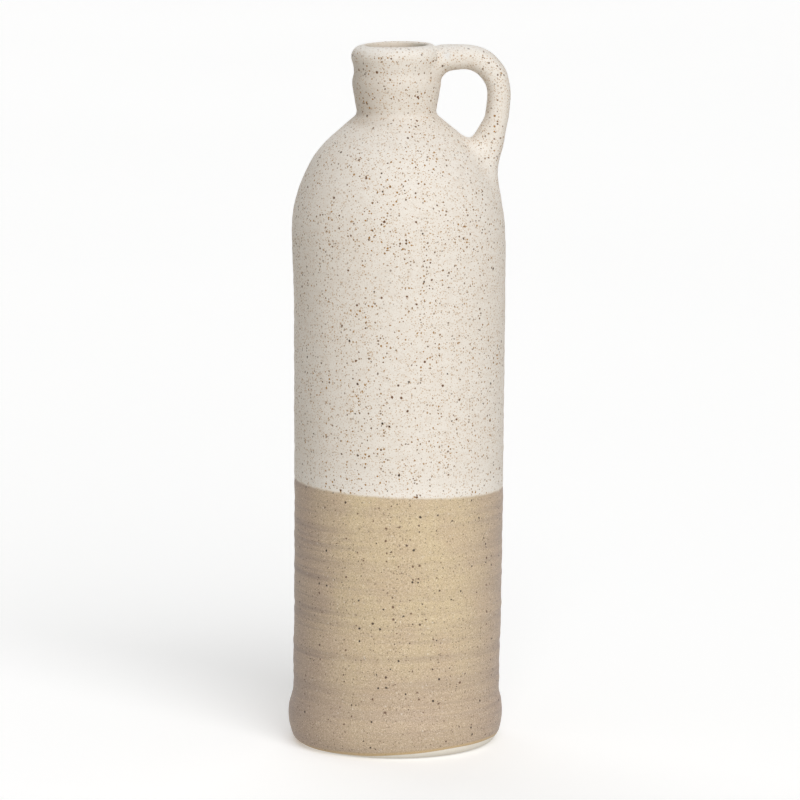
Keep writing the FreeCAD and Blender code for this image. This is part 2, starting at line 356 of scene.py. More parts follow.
class GlazedCrown:
    """The upper half of the vase as one field: the turned clay and the strap, blended, with glaze."""

    BOTTOM = 100
    PLUG = 300  # the bore ends here, lower than the white glaze runs down inside
    REACH = 66
    MARGIN = 8
    STRAP_SIDE = 8
    STRAP_LOW = 262
    BLEND = [(304, 9), (316, 5), (328, 5), (335, 8.5), (341, 4), (347, 1.3)]  # height, reach
    SEAM_DEPTH = 1.5
    SEAM_WIDTH = 0.9
    PIT_DEPTH = 0.9
    PIT_RADIUS = 1.6

    def __init__(self):
        outside = [(0, self.BOTTOM, 0), (outer_radius(self.BOTTOM), self.BOTTOM, 0)]
        outside += [c for c in OUTSIDE if c[1] > self.BOTTOM]
        inside = [(BORE_RADIUS, self.PLUG, 0), (0, self.PLUG, 0)]
        self.outline = rounded(outside + LIP + inside, 0.7)
        top = RIM_HEIGHT + GLAZE + self.MARGIN
        self.turned = DistanceTable(self.outline, self.REACH, self.BOTTOM - self.MARGIN, top)

    def __call__(self, points):
        x, y, z = points.T
        body = self.turned(np.hypot(x, y), z) - GLAZE
        result = body.copy()
        near = (x > self.STRAP_SIDE) & (z > self.STRAP_LOW)
        if near.any():
            result[near] = self.with_strap(points[near], body[near])
        return result

    def with_strap(self, points, body):
        """The strap blended into the body, with a seam notch beside the rim and a pit in its glaze."""
        _, y, z = points.T
        strap = handle_field(points)
        crotch = smooth_step(9, 2, np.abs(y)) * smooth_step(318, 308, z)
        joined = smooth_union(body, strap, eased(z, self.BLEND) * (1 - 0.25 * crotch))
        seam = hump(body, strap, self.SEAM_WIDTH) * smooth_step(339, 345, z)
        front = smooth_step(5, -3, y)
        pit = np.exp(-((points - PINHOLE) ** 2).sum(1) / self.PIT_RADIUS**2)
        return joined + self.SEAM_DEPTH * seam * (0.6 + 0.4 * front) + self.PIT_DEPTH * pit

    def slope(self, points, step=0.05):
        columns = []
        for axis in np.eye(3) * step:
            columns.append((self(points + axis) - self(points - axis)) / (2 * step))
        return np.stack(columns, axis=1)

    def pull(self, points, rounds=6):
        """Moves points onto the surface."""
        for _ in range(rounds):
            slope = self.slope(points)
            size = np.maximum((slope**2).sum(1), 0.2)
            points = points - slope * (self(points) / size)[:, None]
        return points


# Meshes


def add_object(name, data):
    thing = bpy.data.objects.new(name, data)
    bpy.context.scene.collection.objects.link(thing)
    return thing


def make_piece(name, points, faces):
    """A mesh object from points in millimetres, smooth except at its creases."""
    mesh = bpy.data.meshes.new(name)
    mesh.from_pydata((np.asarray(points) * MM).tolist(), [], faces)
    work = bmesh.new()
    work.from_mesh(mesh)
    bmesh.ops.remove_doubles(work, verts=work.verts, dist=MERGE_DISTANCE)
    bmesh.ops.recalc_face_normals(work, faces=work.faces)
    work.to_mesh(mesh)
    work.free()
    mesh.shade_smooth()
    mesh.set_sharp_from_angle(angle=CREASE)
    return add_object(name, mesh)


def ring_faces(rows, columns, closed_rows):
    """Faces of a grid whose columns close into a ring, and its rows too if closed_rows."""
    faces = []
    for i in range(rows if closed_rows else rows - 1):
        for j in range(columns):
            k = (j + 1) % columns
            n = (i + 1) % rows
            faces.append((i * columns + j, i * columns + k, n * columns + k, n * columns + j))
    return faces


def turned_points(line, columns):
    """A line of (radius, height) turned round the axis."""
    angles = np.arange(columns) * TAU / columns
    radius, height = line.T
    x = radius[:, None] * np.cos(angles)
    y = radius[:, None] * np.sin(angles)
    z = np.repeat(height[:, None], columns, axis=1)
    return np.stack([x.ravel(), y.ravel(), z.ravel()], axis=1)


def turned_piece(name, loop, columns=240):
    """A closed solid: a closed loop of (radius, height) turned round the axis and warped."""
    return make_piece(name, warp(turned_points(loop, columns)), ring_faces(len(loop), columns, True))


def between(outline, low, high):
    """The part of an outline between two heights, cut exactly at both."""
    kept = []
    for start, end in zip(outline, outline[1:]):
        cuts = [0.0, 1.0]
        if start[1] != end[1]:
            cuts += [(level - start[1]) / (end[1] - start[1]) for level in (low, high)]
        for share in sorted(c for c in cuts if 0 <= c <= 1):
            spot = start + (end - start) * share
            if low - 1e-6 <= spot[1] <= high + 1e-6:
                if not kept or np.linalg.norm(kept[-1] - spot) > 1e-4:
                    kept.append(spot)
    return np.array(kept)


def offset_outline(outline, distance):
    """The outline moved to its left by a distance."""
    tangent = np.gradient(outline, axis=0)
    tangent /= np.linalg.norm(tangent, axis=1)[:, None]
    return outline + distance * np.stack([-tangent[:, 1], tangent[:, 0]], axis=1)


def halves():
    """The clay's outline as its outside, up to the rim's crest, and its inside, down to the floor."""
    outline = spaced(clay_outline(), 2.0)
    radius, height = outline.T
    crest = int(np.argmax(height + 1e-3 * radius * (radius < CREST_END)))
    return outline[: crest + 1], outline[crest:]


OUTER_HALF, INNER_HALF = halves()


def make_wall(name, low, high):
    """The clay between two heights."""
    loop = np.concatenate([between(OUTER_HALF, low, high), between(INNER_HALF, low, high)])
    return turned_piece(name, loop)


def make_base_slab():
    """Floor disc with its foot ring, and turning marks in the recess under it."""
    recess = spaced(rounded(RECESS + [(FOOT_RADIUS, 0, 0)], 0.3), 0.6)
    under = recess[recess[:, 0] < RECESS_RADIUS + 1].copy()
    radius, height = under.T
    marks = 0.09 * np.sin(TAU * radius / 3.1) + 0.05 * np.sin(TAU * radius / 1.7 + 1)
    under[:, 1] += np.where(height > 1, marks, 0)
    side = between(OUTER_HALF, 0, FLOOR_HEIGHT)
    side = side[side[:, 0] > under[-1, 0]]
    loop = np.concatenate([under, side, [(0.0, FLOOR_HEIGHT)]])
    return turned_piece("base_slab", loop, 360)


def make_liner():
    inner = between(INNER_HALF, FLOOR_HEIGHT, LINER_TOP)
    skin = offset_outline(inner, -GLAZE)
    skin[:, 0] = np.maximum(skin[:, 0], 0)
    skin[0, 1] = LINER_TOP
    return turned_piece("liner_glaze_coat", np.concatenate([inner, skin[::-1]]), 200)


def dip_height(angle):
    return DIP_LINE - DIP_SLOPE * (outer_radius(DIP_LINE) + GLAZE) * np.cos(angle)


def foot_line_height(angle):
    """Height of the sand glaze's lower edge, which is raised on one side and a little ragged."""
    wobble = 0.12 * np.sin(5 * angle + 1) + 0.08 * np.sin(11 * angle)
    lift = (0.5 + 0.5 * np.cos(angle - FOOT_LINE_TURN)) ** 3
    return FOOT_LINE + FOOT_LINE_LIFT * lift + wobble


def make_tan_coat(columns=330, rows=104):
    """The sand coat: a thin closed skin from the foot's line up to the slanted dip line."""
    angle = np.arange(columns) * TAU / columns
    low, high = foot_line_height(angle), dip_height(angle)
    share = np.linspace(0, 1, rows)[:, None]
    height = low + (high - low) * (0.75 * share + 0.25 * share**2)
    clay = outer_radius(height)
    lean = np.gradient(OUTER_HALF[:, 0]) / np.maximum(np.gradient(OUTER_HALF[:, 1]), 1e-6)
    lean = np.interp(height, OUTER_HALF[:, 1], lean)
    stretch = 1 / np.hypot(1, lean)
    thickness = GLAZE * eased(height - low, THIN_EDGE)
    outer = np.stack([clay + thickness * stretch, height - thickness * lean * stretch])
    inner = np.stack([clay, height])
    radius, level = np.concatenate([outer, inner[:, ::-1]], axis=1)
    points = np.stack([radius * np.cos(angle), radius * np.sin(angle), level], axis=-1)
    faces = ring_faces(2 * rows, columns, True)
    return make_piece("tan_glaze_coat", warp(points.reshape(-1, 3)), faces)


def swept_points(half_depth, half_width, centres, tangents, columns):
    """Rings of an oval section round a line in the XZ plane."""
    turn = np.arange(columns) * TAU / columns
    u = half_depth[:, None] * np.cos(turn)
    v = half_width[:, None] * np.sin(turn)
    x = centres[:, :1] - tangents[:, 1:] * u
    z = centres[:, 1:] + tangents[:, :1] * u
    return np.stack([x, v, z], axis=-1).reshape(-1, 3)


def capped_faces(rows, columns):
    """Faces of a tube of rings, closed at both ends."""
    last = (rows - 1) * columns
    ends = [tuple(range(columns)), tuple(range(last + columns - 1, last - 1, -1))]
    return ring_faces(rows, columns, False) + ends


def tucked(points, crown):
    """Pushes points that would show through the glaze back to the clay's surface."""
    for _ in range(4):
        excess = np.maximum(crown(points) + GLAZE, 0)
        points = points - crown.slope(points) * excess[:, None]
    return points


def strap_piece(name, crown, kept, growth):
    """A stretch of clay strap, larger than the plain strap by growth at each of its rings."""
    along = HANDLE_ALONG[kept]
    deep = handle_half_depth(along) - GLAZE + growth
    wide = handle_half_width(along) - GLAZE + growth
    points = swept_points(deep, wide, HANDLE_POINTS[kept], HANDLE_TANGENTS[kept], STRAP_COLUMNS)
    return make_piece(name, warp(tucked(points, crown)), capped_faces(len(along), STRAP_COLUMNS))


def make_strap(crown):
    return strap_piece("handle_strap", crown, slice(None), 0)


def make_weld(name, crown, kept, growth):
    """Slip smeared from the wall up the strap, thinning out along it."""
    count = len(HANDLE_ALONG[kept])
    thinning = (1 - np.linspace(0, 1, count)) ** 1.6
    return strap_piece(name, crown, kept, growth * thinning + 0.1)


def crown_forms(crown):
    """The plain glazed body and strap as two closed meshes, which overlap."""
    columns, around = 200, 40
    outline = spaced(crown.outline, 2)
    body = make_piece("body_form", turned_points(outline, columns),
                      ring_faces(len(outline), columns, True))
    deep, wide = handle_half_depth(HANDLE_ALONG), handle_half_width(HANDLE_ALONG)
    strap = swept_points(deep, wide, HANDLE_POINTS, HANDLE_TANGENTS, around)
    return [body, make_piece("handle_form", strap, capped_faces(len(HANDLE_POINTS), around))]


def make_white_coat(crown):
    """The white coat with its handle: one skin over wall, shoulder, neck and strap, run together."""
    coords, faces = remeshed(crown_forms(crown), VOXEL * MM)
    coords = crown.pull(coords / MM)
    edges = quad_edges(faces)
    for _ in range(4):
        coords = crown.pull(relaxed(coords, edges), rounds=2)
    mesh = bpy.data.meshes.new("white_glaze_coat")
    mesh.from_pydata(coords.tolist(), [], faces.tolist())
    trim_coat(mesh)
    coords = warp(mesh_points(mesh)) * MM
    mesh.vertices.foreach_set("co", coords.ravel())
    mesh.update()
    piece = add_object("white_glaze_coat", mesh)
    skin = piece.modifiers.new("skin", "SOLIDIFY")
    skin.thickness = COAT_SHARE * GLAZE * MM
    skin.offset = -1
    return applied(piece)


def trim_coat(mesh):
    """Cuts the coat off at the slanted dip line, and inside the bore where the liner begins."""
    work = bmesh.new()
    work.from_mesh(mesh)
    bmesh.ops.recalc_face_normals(work, faces=work.faces)
    cut(work, work.faces[:], (0, 0, DIP_LINE), (DIP_SLOPE, 0, 1))
    bore = []
    for face in work.faces:
        x, y, z = face.calc_center_median()
        if math.hypot(x, y) < BORE_RADIUS + 1.5 and z < LINER_TOP + 20:
            bore.append(face)
    cut(work, bore, (0, 0, LINER_TOP), (0, 0, 1))
    work.to_mesh(mesh)
    work.free()


def cut(work, faces, place, normal):
    """Cuts the given faces by a plane and removes what lies behind it, always in the same order."""
    parts = dict.fromkeys(faces)
    for face in faces:
        parts.update(dict.fromkeys(face.verts))
        parts.update(dict.fromkeys(face.edges))
    bmesh.ops.bisect_plane(work, geom=list(parts), plane_co=place, plane_no=normal, clear_inner=True)


def quad_edges(faces):
    """Each edge of a mesh of quads once, as its two points."""
    sides = [faces[:, [i, (i + 1) % 4]] for i in range(4)]
    return np.unique(np.sort(np.concatenate(sides), axis=1), axis=0)


def relaxed(coords, edges):
    """Each point moved halfway to the middle of its neighbours."""
    total = np.zeros_like(coords)
    count = np.zeros(len(coords))
    for a, b in (edges.T, edges[:, ::-1].T):
        np.add.at(total, a, coords[b])
        np.add.at(count, a, 1)
    return 0.5 * coords + 0.5 * total / np.maximum(count, 1)[:, None]


def mesh_points(mesh):
    coords = np.empty(len(mesh.vertices) * 3)
    mesh.vertices.foreach_get("co", coords)
    return coords.reshape(-1, 3)


def remeshed(pieces, voxel):
    """The union of closed pieces as an even mesh of quads: its points and faces."""
    joined = bmesh.new()
    for piece in pieces:
        joined.from_mesh(piece.data)
    mesh = bpy.data.meshes.new("fused")
    joined.to_mesh(mesh)
    joined.free()
    fused = add_object("fused", mesh)
    grid = fused.modifiers.new("grid", "REMESH")
    grid.mode = "VOXEL"
    grid.voxel_size = voxel
    applied(fused)
    coords = mesh_points(fused.data)
    faces = np.array([tuple(p.vertices) for p in fused.data.polygons])
    for piece in pieces + [fused]:
        bpy.data.objects.remove(piece)
    return coords, faces


def applied(piece):
    """Gives the piece the mesh that its modifiers make, and smooth shading with sharp rims."""
    bpy.context.view_layer.update()
    shown = piece.evaluated_get(bpy.context.evaluated_depsgraph_get())
    mesh = bpy.data.meshes.new_from_object(shown)
    piece.modifiers.clear()
    piece.data = mesh
    mesh.shade_smooth()
    mesh.set_sharp_from_angle(angle=COAT_CREASE)
    return piece


# Materials


class Shading:
    """A material's node tree, with the few kinds of node that the glazes and the clay need."""

    def __init__(self, name, roughness, specular, sheen=0.0, sheen_tint=(1, 1, 1)):
        self.material = bpy.data.materials.new(name)
        self.material.use_nodes = True
        self.tree = self.material.node_tree
        self.surface = self.tree.nodes["Principled BSDF"]
        self.surface.inputs["Roughness"].default_value = roughness
        self.surface.inputs["Specular IOR Level"].default_value = specular
        self.surface.inputs["Sheen Weight"].default_value = sheen
        self.surface.inputs["Sheen Roughness"].default_value = 0.5
        self.surface.inputs["Sheen Tint"].default_value = (*sheen_tint, 1)
        place = self.node("ShaderNodeTexCoord").outputs["Object"]
        self.place = self.vector("SCALE", place, scale=1 / MM)
        apart = self.node("ShaderNodeSeparateXYZ")
        self.tree.links.new(self.place, apart.inputs[0])
        self.x, self.y, self.z = apart.outputs

    def node(self, kind, **settings):
        made = self.tree.nodes.new(kind)
        for name, value in settings.items():
            setattr(made, name, value)
        return made

    def feed(self, socket, value):
        if isinstance(value, bpy.types.NodeSocket):
            self.tree.links.new(value, socket)
        else:
            socket.default_value = value

    def math(self, operation, *values):
        made = self.node("ShaderNodeMath", operation=operation)
        for socket, value in zip(made.inputs, values):
            self.feed(socket, value)
        return made.outputs[0]

    def times(self, first, second):
        return self.math("MULTIPLY", first, second)

    def vector(self, operation, *values, scale=None, output=0):
        made = self.node("ShaderNodeVectorMath", operation=operation)
        for socket, value in zip(made.inputs, values):
            self.feed(socket, value)
        if scale is not None:
            made.inputs["Scale"].default_value = scale
        return made.outputs[output]

    def radius(self):
        """Distance from the vase's axis in millimetres."""
        return self.vector("LENGTH", self.vector("MULTIPLY", self.place, (1, 1, 0)), output="Value")

    def noise(self, size, detail=2.0, stretch=(1, 1, 1), offset=0.0, roughness=0.5):
        """Noise from 0 to 1 whose features are about size millimetres; offset picks another pattern."""
        place = self.vector("MULTIPLY", self.place, stretch)
        place = self.vector("ADD", place, (offset, 1.7 * offset, -offset))
        made = self.node("ShaderNodeTexNoise")
        self.feed(made.inputs["Vector"], place)
        made.inputs["Scale"].default_value = 1 / size
        made.inputs["Detail"].default_value = detail
        made.inputs["Roughness"].default_value = roughness
        return made.outputs["Fac"]

    def ramp(self, value, low, high, first=0.0, second=1.0, smooth=True):
        """Goes from first to second while the value goes from low to high."""
        made = self.node("ShaderNodeMapRange")
        made.interpolation_type = "SMOOTHSTEP" if smooth else "LINEAR"
        for socket, amount in zip(made.inputs, (value, low, high, first, second)):
            self.feed(socket, amount)
        return made.outputs[0]

    def mix(self, share, first, second):
        made = self.node("ShaderNodeMix", data_type="RGBA")
        colours = [s for s in made.inputs if s.type == "RGBA"]
        self.feed(made.inputs[0], share)
        for socket, value in zip(colours, (first, second)):
            self.feed(socket, value if isinstance(value, bpy.types.NodeSocket) else (*value, 1))
        return next(s for s in made.outputs if s.type == "RGBA")

    def specks(self, cell, radius, share, offset, softness):
        """Irregular spots: how strongly one covers each place, and a random number for its tint.

        Each cell of a Voronoi pattern holds a spot with the chance share; noise bends its edge.
        """
        wander = self.node("ShaderNodeTexNoise")
        self.feed(wander.inputs["Vector"], self.place)
        wander.inputs["Scale"].default_value = 1 / (1.6 * radius)
        wander.inputs["Detail"].default_value = 1.0
        shift = self.vector("SUBTRACT", wander.outputs["Color"], (0.5, 0.5, 0.5))
        shift = self.vector("SCALE", shift, scale=1.3 * radius)
        place = self.vector("ADD", self.place, shift)
        place = self.vector("ADD", place, (offset, -offset, 2.3 * offset))
        cells = self.node("ShaderNodeTexVoronoi")
        self.feed(cells.inputs["Vector"], place)
        cells.inputs["Scale"].default_value = 1 / cell
        apart = self.node("ShaderNodeSeparateColor")
        self.tree.links.new(cells.outputs["Color"], apart.inputs[0])
        size, chance, tint = apart.outputs
        distance = self.times(cells.outputs["Distance"], cell)
        reach = self.ramp(size, 0, 1, 0.5 * radius, 1.35 * radius, smooth=False)
        core = self.times(reach, 1 - softness)
        cover = self.ramp(distance, reach, core)
        return self.times(cover, self.math("LESS_THAN", chance, share)), tint

    def finish(self, colour, roughness=None, height=None, bump=0.0):
        self.feed(self.surface.inputs["Base Color"], colour)
        if roughness is not None:
            self.feed(self.surface.inputs["Roughness"], roughness)
        if height is not None:
            relief = self.node("ShaderNodeBump")
            relief.inputs["Strength"].default_value = bump
            relief.inputs["Distance"].default_value = 0.25 * MM
            self.feed(relief.inputs["Height"], height)
            self.feed(self.surface.inputs["Normal"], relief.outputs[0])
        return self.material


def above_dip_line(s):
    """Goes from 0 to 1 across the slanted dip line, which is a little ragged."""
    ragged = s.math("MULTIPLY_ADD", s.noise(2.6, 3, offset=11), 1.1, -0.55)
    level = s.math("ADD", slanted_height(s), ragged)
    return s.ramp(level, DIP_LINE - DIP_SOFTNESS, DIP_LINE + DIP_SOFTNESS)


def slanted_height(s):
    """Height that is the same all along the dip line."""
    return s.math("MULTIPLY_ADD", s.x, DIP_SLOPE, s.z)


def foot_line_gap(s):
    """Height above the sand glaze's lower edge, in millimetres."""
    outwards = s.vector("NORMALIZE", s.vector("MULTIPLY", s.place, (1, 1, 0)))
    raised_side = (math.cos(FOOT_LINE_TURN), math.sin(FOOT_LINE_TURN), 0)
    facing = s.vector("DOT_PRODUCT", outwards, raised_side, output="Value")
    lift = s.math("POWER", s.math("MULTIPLY_ADD", facing, 0.5, 0.5), 3)
    line = s.math("MULTIPLY_ADD", lift, FOOT_LINE_LIFT, FOOT_LINE)
    return s.math("SUBTRACT", s.z, line)


# Colours as linear red, green and blue

WHITE = (0.850, 0.800, 0.730)
WHITE_CLOUD = (0.790, 0.725, 0.640)
WHITE_MOTTLE = (0.750, 0.670, 0.580)
WHITE_DARK_GRAIN = (0.56, 0.475, 0.37)
WHITE_PALE_GRAIN = (0.93, 0.89, 0.83)
# Painted shade for the neck under the rim
PAINTED_NECK_SHADE = (0.520, 0.450, 0.370)
ROLL_TONE = (0.950, 0.915, 0.860)
# Painted highlight for the top of the lip
PAINTED_CREST_HIGHLIGHT = (0.950, 0.925, 0.880)
SMEAR_TONE = (0.78, 0.80, 0.82)
PIT_TONE = (0.36, 0.37, 0.38)
# Painted shade inside the mouth: a paler and a deeper tone
MOUTH_SHADE_PALE = (0.700, 0.610, 0.500)
MOUTH_SHADE = (0.47, 0.43, 0.34)

DUST = (0.44, 0.23, 0.045)
RUST = (0.345, 0.165, 0.018)
DEEP_RUST = (0.115, 0.048, 0.005)
HALO = (0.42, 0.22, 0.05)
BROWN_IRON = (0.12, 0.042, 0.008)
BLACK_IRON = (0.025, 0.013, 0.006)

SAND = (0.680, 0.545, 0.343)
SAND_CLOUD = (0.610, 0.460, 0.320)
SAND_MOTTLE = (0.540, 0.415, 0.310)
SAND_DARK_GRAIN = (0.310, 0.232, 0.145)
SAND_PALE_GRAIN = (0.900, 0.800, 0.630)
# Mauve of the glaze, also used as painted sheen and shade on the sides
MAUVE_AND_SIDE_SHEEN = (0.462, 0.342, 0.275)
DARK_MAUVE = (0.325, 0.250, 0.215)
SAND_EDGE = (0.66, 0.47, 0.235)
FAINT_SPECK = (0.145, 0.095, 0.065)
PALE_SPECK = (0.85, 0.80, 0.72)
SAND_BROWN_IRON = (0.15, 0.080, 0.050)
SAND_BLACK_IRON = (0.030, 0.019, 0.015)

CLAY = (0.940, 0.900, 0.820)
CLAY_FLASH = (0.86, 0.76, 0.62)
CLAY_GRIT = (0.68, 0.58, 0.46)
CLAY_IRON = (0.20, 0.12, 0.07)

LINER = (0.70, 0.66, 0.56)
LINER_POOL = (0.60, 0.58, 0.48)
LINER_SPECK = (0.28, 0.18, 0.10)

FLOOR_PALE = (0.91, 0.91, 0.905)
FLOOR_DARKER = (0.90, 0.90, 0.895)


def white_ground(s, cloud, grain):
    """The white glaze without specks: cloudy and grainy, with painted shade round the neck that is
    deepest on the left, paler at the dip line.
    """
    mottle = s.noise(6, 3, stretch=(1, 1, 1.5), offset=9)
    colour = s.mix(s.ramp(cloud, 0.35, 0.75, 0, 0.25), WHITE, WHITE_CLOUD)
    colour = s.mix(s.ramp(mottle, 0.38, 0.72, 0, 0.35), colour, WHITE_MOTTLE)
    colour = s.mix(s.ramp(grain, 0.50, 0.85, 0, 0.85), colour, WHITE_DARK_GRAIN)
    colour = s.mix(s.ramp(grain, 0.48, 0.20, 0, 0.80), colour, WHITE_PALE_GRAIN)
    # Painted shade round the neck under the rim, deepest on the left, away from the key light
    neck = s.times(s.ramp(s.z, 302, 315), s.ramp(s.z, 349, 334))
    neck = s.times(neck, s.ramp(s.x, 4, -20, 0.10, 0.50))
    neck = s.times(neck, s.ramp(s.radius(), 27, 23))
    colour = s.mix(neck, colour, PAINTED_NECK_SHADE)
    roll = s.ramp(slanted_height(s), DIP_LINE + 1, DIP_LINE + 16, 0.35, 0)
    return s.mix(roll, colour, ROLL_TONE)


def white_specks(s, colour):
    """The colour with dust and rust and dark iron specks on it, and where the last two kinds are."""
    crowd = s.ramp(s.noise(13, 3, offset=21), 0.32, 0.60, 0.40, 1.0)
    dust, _ = s.specks(cell=0.92, radius=0.36, share=0.85, offset=5.0, softness=0.5)
    colour = s.mix(s.times(dust, s.times(crowd, 0.66)), colour, DUST)
    thick = s.ramp(s.noise(17, 3, offset=63), 0.34, 0.60, 0.45, 1.0)
    small, tint = s.specks(cell=1.50, radius=0.46, share=0.66, offset=40.0, softness=0.30)
    colour = s.mix(s.times(small, thick), colour, s.mix(s.ramp(tint, 0.30, 0.95), RUST, DEEP_RUST))
    halo, _ = s.specks(cell=4.1, radius=0.86, share=0.48, offset=71.0, softness=0.95)
    colour = s.mix(s.times(halo, 0.60), colour, HALO)
    large, tint = s.specks(cell=4.1, radius=0.53, share=0.48, offset=71.0, softness=0.15)
    iron = s.mix(s.ramp(tint, 0.3, 0.8), BROWN_IRON, BLACK_IRON)
    return s.mix(s.times(large, 0.97), colour, iron), s.math("MAXIMUM", small, large)


def rim_tones(s, colour):
    """A painted highlight on the crest, the smear and pit beside the handle, and painted shade inside the
    mouth.
    """
    # Painted highlight along the top of the lip, where it faces the light
    crest = s.times(s.ramp(s.z, 344.5, 349), s.ramp(s.radius(), 15.8, 16.8))
    colour = s.mix(s.times(crest, 0.4), colour, PAINTED_CREST_HIGHLIGHT)
    gap = s.vector("DISTANCE", s.place, PINHOLE, output="Value")
    colour = s.mix(s.ramp(gap, 3.4, 1.0, 0, 0.45), colour, SMEAR_TONE)
    colour = s.mix(s.ramp(gap, 1.1, 0.5, 0, 0.65), colour, PIT_TONE)
    # Painted shade on the inner wall just below the rim, deeper towards the handle side
    inside = s.times(s.ramp(s.radius(), 16.2, 15.4), s.ramp(s.z, 349.7, 348.6))
    shade = s.mix(s.ramp(s.x, 3, 13), MOUTH_SHADE_PALE, MOUTH_SHADE)
    return s.mix(s.times(inside, 0.75), colour, shade)


def white_glaze():
    """Off-white matte glaze, clouded, with rust and brown iron specks in every size."""
    s = Shading("white_speckled_glaze", 0.62, 0.28, sheen=0.06)
    cloud = s.noise(38, 3, offset=3)
    grain = s.noise(0.55, 2, offset=1, roughness=0.8)
    colour, specks = white_specks(s, white_ground(s, cloud, grain))
    colour = s.mix(above_dip_line(s), SAND, rim_tones(s, colour))
    pits = s.math("SUBTRACT", 1.0, s.times(specks, 0.6))
    height = s.math("ADD", pits, s.times(grain, 0.6))
    return s.finish(colour, s.ramp(cloud, 0.3, 0.7, 0.56, 0.68), height, bump=0.12)


def sand_bands(s, side):
    """Where mauve bands run along the throwing rings, more so on the mauve sides."""
    streak = s.noise(9, 3, stretch=(0.06, 0.06, 1.8), offset=33, roughness=0.6)
    fine = s.noise(6, 2, stretch=(0.05, 0.05, 2.2), offset=70)
    patch = s.noise(60, 1, stretch=(1, 1, 0.9), offset=50)
    bands = s.math("MAXIMUM", s.ramp(streak, 0.44, 0.66), s.ramp(fine, 0.50, 0.70, 0, 0.85))
    bands = s.times(bands, s.ramp(patch, 0.38, 0.62, 0.55, 1))
    return s.times(bands, s.math("MULTIPLY_ADD", side, 0.50, 0.22))


def sand_ground(s, grain):
    """The sand glaze without specks: mauve towards the foot and in bands, and on two sides, where the
    mauve is partly painted sheen and shade.
    """
    cloud = s.noise(22, 3, offset=15)
    mottle = s.noise(2.2, 3, offset=8)
    # The two sides seen from the front turn mauve: partly the glaze's own variation, partly painted sheen
    # and shade where the sides turn away
    across = s.math("ABSOLUTE", s.math("SUBTRACT", s.x, s.times(cloud, 9)))
    side = s.ramp(across, 22, 56, 0, 0.80)
    low = s.ramp(s.z, 85, 5, 0, 0.50)
    side = s.math("ADD", side, s.times(low, s.math("SUBTRACT", 1.0, side)))
    colour = s.mix(s.ramp(cloud, 0.40, 0.66, 0, 0.5), SAND, SAND_CLOUD)
    colour = s.mix(side, colour, MAUVE_AND_SIDE_SHEEN)
    colour = s.mix(s.ramp(mottle, 0.42, 0.75, 0, 0.35), colour, SAND_MOTTLE)
    colour = s.mix(s.ramp(grain, 0.51, 0.70, 0, 0.88), colour, SAND_DARK_GRAIN)
    colour = s.mix(s.ramp(grain, 0.49, 0.30, 0, 0.85), colour, SAND_PALE_GRAIN)
    return s.mix(sand_bands(s, side), colour, DARK_MAUVE)


def sand_specks(s, colour):
    """The colour with faint, pale and dark specks on it, and where the dark ones are."""
    faint, _ = s.specks(cell=1.55, radius=0.40, share=0.62, offset=13.0, softness=0.35)
    colour = s.mix(s.times(faint, 0.58), colour, FAINT_SPECK)
    pale, _ = s.specks(cell=2.6, radius=0.40, share=0.70, offset=33.0, softness=0.5)
    colour = s.mix(s.times(pale, 0.50), colour, PALE_SPECK)
    large, tint = s.specks(cell=3.3, radius=0.52, share=0.56, offset=90.0, softness=0.2)
    iron = s.mix(s.ramp(tint, 0.2, 0.7), SAND_BROWN_IRON, SAND_BLACK_IRON)
    return s.mix(s.times(large, 0.90), colour, iron), large


def sand_glaze():
    """Sandy matte glaze, mauve where it is thin and, partly as painted sheen and shade, on its left and
    right sides, with a toasted lower edge.
    """
    s = Shading("sand_glaze", 0.60, 0.30, sheen=0.10, sheen_tint=(0.85, 0.85, 1.0))
    grain = s.noise(0.55, 3, offset=2, roughness=0.8)
    colour, large = sand_specks(s, sand_ground(s, grain))
    colour = s.mix(s.ramp(foot_line_gap(s), 0.4, 2.0, 0.75, 0), colour, SAND_EDGE)
    colour = s.mix(above_dip_line(s), colour, WHITE)
    height = s.math("ADD", s.times(grain, 0.8), s.times(large, -0.6))
    return s.finish(colour, s.ramp(grain, 0.3, 0.7, 0.52, 0.66), height, bump=0.15)


def bare_stoneware():
    """Pale unglazed clay, gritty, with a faint flash and pinpoints of iron."""
    s = Shading("bare_stoneware", 0.85, 0.2)
    grit = s.noise(0.5, 3, offset=4, roughness=0.7)
    flash = s.noise(22, 2, offset=14)
    colour = s.mix(s.ramp(flash, 0.35, 0.75, 0, 0.35), CLAY, CLAY_FLASH)
    colour = s.mix(s.ramp(grit, 0.45, 0.8, 0, 0.35), colour, CLAY_GRIT)
    iron, _ = s.specks(cell=2.6, radius=0.22, share=0.5, offset=27.0, softness=0.5)
    colour = s.mix(s.times(iron, 0.8), colour, CLAY_IRON)
    return s.finish(colour, s.ramp(grit, 0.3, 0.7, 0.78, 0.92), grit, bump=0.35)


def liner_glaze():
    """Plain pale glaze inside, a little glossier and faintly green where it pools."""
    s = Shading("liner_glaze", 0.4, 0.4)
    cloud = s.noise(18, 2, offset=6)
    colour = s.mix(s.ramp(cloud, 0.3, 0.7), LINER, LINER_POOL)
    small, _ = s.specks(cell=2.6, radius=0.3, share=0.6, offset=61.0, softness=0.6)
    colour = s.mix(s.times(small, 0.6), colour, LINER_SPECK)
    return s.finish(colour, s.ramp(cloud, 0.3, 0.7, 0.34, 0.46), cloud, bump=0.05)


def pale_floor():
    """Plain pale table, which glows faintly so that it stays nearly white to the horizon."""
    s = Shading("pale_floor", 0.9, 0.1)
    s.surface.inputs["Emission Color"].default_value = (1, 1, 1, 1)
    s.surface.inputs["Emission Strength"].default_value = TABLE_GLOW
    colour = s.mix(s.ramp(s.noise(900, 1), 0.3, 0.7), FLOOR_DARKER, FLOOR_PALE)
    return s.finish(colour)


# Stage: brightness is 1 for white, angles are in degrees, lengths in metres

